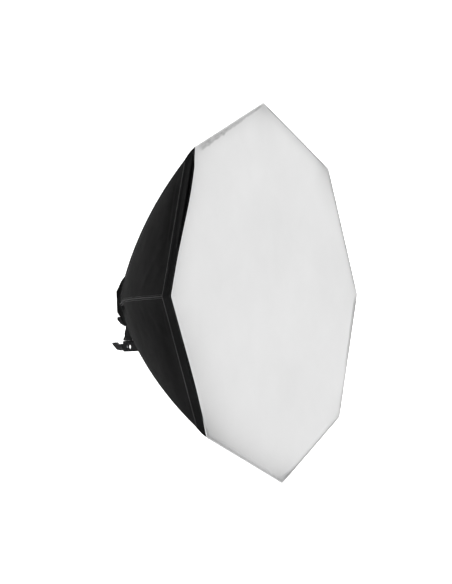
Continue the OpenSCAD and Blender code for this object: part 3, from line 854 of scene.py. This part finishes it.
edge_rings = [FRONT_R - e * MM for e in (9.5, 11.2, 12.4, 13.6, 15, 17, 19, 22, 25, 29, 33, 38, 44, 51, 60)]
INNER_RINGS = 34
rings = edge_rings + [edge_rings[-1] * (1 - i / INNER_RINGS) for i in range(1, INNER_RINGS)]
verts, uvs, tones = [], [], []
for r in rings:
    for sample in OCTAGON:
        p = border_point(sample, r, front_depth(sample, r) + (0.2 * MM if r > FRONT_R - 11 * MM else 0))
        verts.append(p)
        uvs.append((p[0], p[2]))
        tones.append(front_painted_shade(sample, r))
faces = grid_faces(len(rings), AROUND, wrap_cols=True)
verts.append(border_point(OCTAGON[0], 0.0, front_depth((0.0001, 0, 0.5), 0.0)))
uvs.append((0, AXIS_Z))
tones.append(1.0)
last_ring = (len(rings) - 1) * AROUND
faces += [(last_ring + j, last_ring + (j + 1) % AROUND, len(verts) - 1) for j in range(AROUND)]
front_sheet = mesh_piece("diffuser_cloth", verts, faces, [white_diffusion], slot="diffuser_fabric", uvs=uvs)
# The cloth's tone colours carry its painted shade.
add_tone(front_sheet, tones)
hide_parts("diffuser")
thicken(front_sheet, DIFFUSION_THICKNESS)


# How far the hem lies in from the edge and stands off the cloth, row by row in millimetres.
HEM_LIFTS = ((HEM_W + 0.3, 0.02), (HEM_W, 0.2), (9, 0.28), (7.6, 0.2), (6, 0.3), (4, 0.32), (2.4, 0.3),
             (1.3, 0.15))


def hem_rows(sample):
    share = sample[2]
    crumple = (0.3 + 0.9 * on_side(share, 2)) * wobble(share * 50, 0.0, 9.0) * MM
    face = []
    for e, lift in HEM_LIFTS:
        r = FRONT_R - e * MM
        face.append((r, front_depth(sample, r) - lift * MM + crumple * math.sin(math.pi * e / 12), 0))
    rim_d = min(face[-1][1] + 0.5 * MM, 0.1 * MM)
    rim = [(FRONT_R - 0.8 * MM, rim_d, 0), (FRONT_R - 1.4 * MM, max(rim_d + 0.5 * MM, 0.3 * MM), 0)]
    turned = ((4.2, 1.9), (5.2, 2.35), (31, 2.35), (31, 1.5), (7, 1.5))
    return face + rim + [(FRONT_R - e * MM, d * MM, 0) for e, d in turned]


verts, uvs, count = border_mesh(hem_rows)
hem = mesh_piece("diffuser_hem_cloth", verts, border_faces(count),
                 [white_hem], slot="hem_tape", uvs=uvs)
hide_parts("diffuser_hem")
# The hem carries the same painted shade as the cloth beside it.
add_tone(hem, [front_painted_shade(sample, row[0]) for sample in OCTAGON for row in hem_rows(sample)])


def on_hem(e):
    def point(sample):
        r = FRONT_R - e * MM
        return border_point(sample, r, front_depth(sample, r) - 0.26 * MM), np.array([0, -1, 0])
    return point


hem_runs = [border_run(on_hem(e), HEM_PITCH) for e in (9.6, 7.6)]
hem_thread = stitches("hem_stitches", hem_runs, white_thread, slot="hem_tape", thread=0.25 * MM)

# ---------------------------------------------------------------- the rear collar
COLLAR_COLS = 288
COLLAR_ROWS = 22
HEM_R = (ring_high[0] - ring_low[0]) / 2 / math.cos(HALF_GORE) + 1.9 * MM
HEM_BACK = collar_high[1] - FRONT_Y


def octagon_radius(phi, r):
    return r * math.cos(HALF_GORE) / math.cos(phi % (2 * HALF_GORE) - HALF_GORE)


verts, uvs = [], []
for i in range(COLLAR_ROWS):
    t = i / (COLLAR_ROWS - 1)
    for j in range(COLLAR_COLS):
        phi = 2 * math.pi * j / COLLAR_COLS
        start = octagon_radius(phi, REAR_R - 0.6 * MM)
        if t < 0.8:
            q = t / 0.8
            ease = q * q * (3 - 2 * q)
            r = start + (HEM_R - start) * (0.35 * ease + 0.65 * q)
            d = REAR_D - 4 * MM + (HEM_BACK - 3.5 * MM - REAR_D + 4 * MM) * q
        else:
            roll = (t - 0.8) / 0.2 * math.pi
            r = HEM_R + 1.1 * MM * math.sin(roll)
            d = HEM_BACK - 3.5 * MM + 1.75 * MM * (1 - math.cos(roll))
        gathers = wobble(math.cos(phi) * 13, math.sin(phi) * 13, 3.0) + 0.6 * wobble(
            math.cos(phi) * 29, math.sin(phi) * 29, 5.0)
        over_rod = near(abs((phi + HALF_GORE) % (2 * HALF_GORE) - HALF_GORE) * r, 8 * MM)
        slack = 2.0 * MM * gathers * smooth_step(0.05, 0.75, t) * (1 - 0.6 * smooth_step(0.8, 1.0, t))
        r += slack * (1 - 0.9 * over_rod)
        r += 2.6 * MM * over_rod * smooth_step(0.0, 0.15, t) * (1 - smooth_step(0.5, 0.8, t))
        verts.append(place(r, phi, d))
        uvs.append((phi * REAR_R, t * 0.026))
faces = grid_faces(COLLAR_ROWS, COLLAR_COLS, wrap_cols=True, flip=True)
collar = mesh_piece("rear_collar_cloth", verts, faces, [black_nylon, silver_lining],
                    slot="shell_fabric", uvs=uvs)
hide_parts("rear_collar")
thicken(collar, NYLON_THICKNESS, lined=True)

# ---------------------------------------------------------------- stage, lights and camera
FLOOR_Z = cad_box[0][2] - 0.32
FLOOR_REACH = 60
floor_mesh = bpy.data.meshes.new("floor")
floor_mesh.from_pydata([(FLOOR_REACH * x, FLOOR_REACH * y, FLOOR_Z) for x, y in
                        ((-1, -1), (1, -1), (1, 1), (-1, 1))], [], [(0, 1, 2, 3)])
floor = bpy.data.objects.new("floor", floor_mesh)
bpy.context.scene.collection.objects.link(floor)
floor_look, nodes, links, bsdf = shader("pale_floor", (0.93, 0.93, 0.93), 0.9)
bsdf.inputs["Emission Color"].default_value = (1, 1, 1, 1)
bsdf.inputs["Emission Strength"].default_value = 0.75
floor_mesh.materials.append(floor_look)

world = bpy.data.worlds.new("studio")
world.use_nodes = True
world.node_tree.nodes["Background"].inputs["Color"].default_value = (1, 1, 1, 1)
world.node_tree.nodes["Background"].inputs["Strength"].default_value = 0.53
bpy.context.scene.world = world
bpy.context.scene.view_settings.view_transform = "Standard"

FRONT_CENTRE = Vector((0, FRONT_Y, AXIS_Z))


def area_light(name, offset, size, power):
    light = bpy.data.lights.new(name, "AREA")
    light.shape = "DISK"
    light.size = size
    light.energy = power
    lamp = bpy.data.objects.new(name, light)
    bpy.context.scene.collection.objects.link(lamp)
    lamp.location = FRONT_CENTRE + Vector(offset)
    lamp.rotation_euler = (FRONT_CENTRE - lamp.location).to_track_quat("-Z", "Y").to_euler()
    return lamp


area_light("front_fill", (-0.6, -3.6, 1.2), 2.2, 9.2)
area_light("side_sheen", (-3.2, 1.2, 1.1), 1.4, 3)
area_light("back_rim", (1.4, 3.2, 1.8), 1.6, 9)

# The camera stands off the white front's left edge, in units of the octagon's corner radius.
CAMERA_OFFSET = Vector((-6.927, -3.880, -0.219))
CAMERA_BACK = Vector((-0.8565, -0.5152, -0.0299))
CAMERA_UP = Vector((-0.0037, -0.0518, 0.9987))
camera_data = bpy.data.cameras.new("camera")
camera_data.lens = 92.5
camera_data.sensor_width = 36
camera = bpy.data.objects.new("camera", camera_data)
bpy.context.scene.collection.objects.link(camera)
back = CAMERA_BACK.normalized()
right = CAMERA_UP.cross(back).normalized()
up = back.cross(right)
turn = Matrix((right, up, back)).transposed().to_4x4()
camera.matrix_world = Matrix.Translation(FRONT_CENTRE + CAMERA_OFFSET * FRONT_R) @ turn
bpy.context.scene.camera = camera

# A white backdrop fills the view behind the object.
middle = FRONT_CENTRE - back * 9
backdrop_mesh = bpy.data.meshes.new("backdrop")
backdrop_mesh.from_pydata([middle + right * x * 14 + Vector((0, 0, 1)) * z * 9 for x, z in
                           ((-1, -0.5), (1, -0.5), (1, 1), (-1, 1))], [], [(0, 1, 2, 3)])
backdrop = bpy.data.objects.new("backdrop", backdrop_mesh)
bpy.context.scene.collection.objects.link(backdrop)
backdrop_mesh.materials.append(floor_look)
